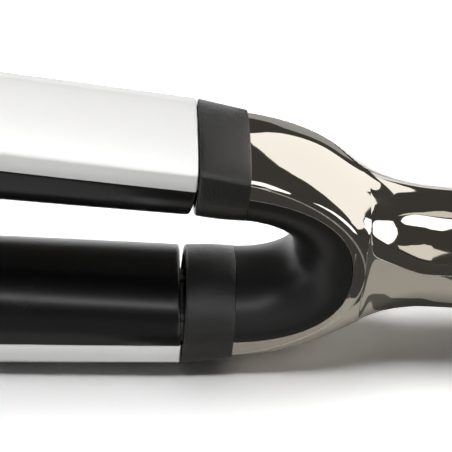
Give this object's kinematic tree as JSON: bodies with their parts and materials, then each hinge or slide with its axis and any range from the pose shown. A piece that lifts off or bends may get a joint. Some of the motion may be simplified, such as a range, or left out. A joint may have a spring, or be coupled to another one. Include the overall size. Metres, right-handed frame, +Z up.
{
  "type": "hair crimper",
  "caption": "Wishbone-hinged hair styling iron with two sprung arms, floating corrugated crimping plates, a power button on the barrel and a swivelling cord gland.",
  "frame": {"origin": "on the resting plane, under the middle of the whole object's box", "axes": "+X along the object towards the tail and the cord gland, +Y across its width to the side of the power button, +Z up, out of the lower arm towards the upper arm"},
  "size_m": [0.2892, 0.0306, 0.0693],
  "materials": {
    "plated_shell": "mirror-polished warm metal plating over moulded plastic",
    "black_satin": "satin moulded black",
    "black_texture": "finely grained matte black",
    "white_gloss": "polished warm white",
    "black_gloss": "polished black",
    "button_black": "polished black",
    "light_ring": "frosted light guide",
    "gland_rubber": "soft matte black",
    "grey_nylon": "moulded grey",
    "steel_sheet": "pressed zinc-plated sheet",
    "steel_pin": "turned and polished",
    "spring_wire": "drawn spring wire",
    "board_green": "solder-masked laminate",
    "capacitor_case": "dipped resin",
    "fuse_ceramic": "glazed tube",
    "terminal_plastic": "moulded blue",
    "lead_sleeve": "silicone sleeve",
    "heat_resin": "glass-filled resin",
    "silicone_spring": "moulded silicone",
    "plate_coating": "dark fired coating over corrugated aluminium",
    "heater_ceramic": "fired ceramic"
  },
  "bodies": {
    "wishbone": {"wishbone_shell": "plated_shell", "wishbone_saddle": "black_satin", "upper_collar": "black_texture", "lower_collar": "black_texture", "hinge_frame": "steel_sheet", "upper_hinge_pin": "steel_pin", "lower_hinge_pin": "steel_pin", "upper_return_spring": "spring_wire", "lower_return_spring": "spring_wire", "frame_mount": "grey_nylon", "frame_screws": "steel_pin", "control_board": "board_green", "mains_capacitor": "capacitor_case", "board_fuse": "fuse_ceramic", "sounder": "black_satin", "power_switch": "black_satin", "terminal_block": "terminal_plastic", "button_light_ring": "light_ring", "barrel_end_cap": "black_satin", "swivel_retainer": "grey_nylon"},
    "power_button": {"power_button": "button_black"},
    "cord_swivel": {"cord_swivel": "gland_rubber"},
    "upper_arm": {"upper_arm_shell": "white_gloss", "upper_arm_liner": "black_gloss", "upper_tip_cap": "black_gloss", "upper_spine": "steel_sheet", "upper_arm_screws": "steel_pin", "upper_heater_leads": "lead_sleeve", "upper_heat_tray": "heat_resin", "upper_plate_springs": "silicone_spring"},
    "upper_plate": {"upper_plate_carrier": "heat_resin", "upper_crimp_plate": "plate_coating", "upper_heater": "heater_ceramic", "upper_heat_sensor": "heater_ceramic", "upper_thermal_fuse": "steel_pin"},
    "lower_arm": {"lower_arm_shell": "white_gloss", "lower_arm_liner": "black_gloss", "lower_tip_cap": "black_gloss", "lower_spine": "steel_sheet", "lower_arm_screws": "steel_pin", "lower_heater_leads": "lead_sleeve", "lower_heat_tray": "heat_resin", "lower_plate_springs": "silicone_spring"},
    "lower_plate": {"lower_plate_carrier": "heat_resin", "lower_crimp_plate": "plate_coating", "lower_heater": "heater_ceramic", "lower_heat_sensor": "heater_ceramic", "lower_thermal_fuse": "steel_pin"}
  },
  "joints": [
    {"name": "upper_arm_hinge", "type": "hinge", "parent": "wishbone", "child": "upper_arm", "pos_m": [0.05238, 0, 0.042], "axis": [0, -1, 0], "range_deg": [0, 5.2], "stiffness_Nm_per_rad": 4, "springref_deg": -6.88},
    {"name": "lower_arm_hinge", "type": "hinge", "parent": "wishbone", "child": "lower_arm", "pos_m": [0.05044, 0, 0.00725], "axis": [0, 1, 0], "range_deg": [0, 5.2], "stiffness_Nm_per_rad": 4, "springref_deg": -6.88},
    {"name": "upper_plate_float", "type": "slide", "parent": "upper_arm", "child": "upper_plate", "axis": [0.1461, 0, 0.9893], "range_m": [0, 0.0008], "stiffness_N_per_m": 2500, "springref_m": -0.001, "deforming": ["upper_plate_springs"]},
    {"name": "lower_plate_float", "type": "slide", "parent": "lower_arm", "child": "lower_plate", "axis": [0.0349, 0, -0.9994], "range_m": [0, 0.0008], "stiffness_N_per_m": 2500, "springref_m": -0.001, "deforming": ["lower_plate_springs"]},
    {"name": "power_button_press", "type": "slide", "parent": "wishbone", "child": "power_button", "axis": [0, -1, 0], "range_m": [0, 0.0006], "stiffness_N_per_m": 1500, "springref_m": -0.0005},
    {"name": "cord_swivel_turn", "type": "hinge", "parent": "wishbone", "child": "cord_swivel", "pos_m": [0.13663, 0, 0.01986], "axis": [0.9984, 0, -0.0558], "continuous": true}
  ]
}
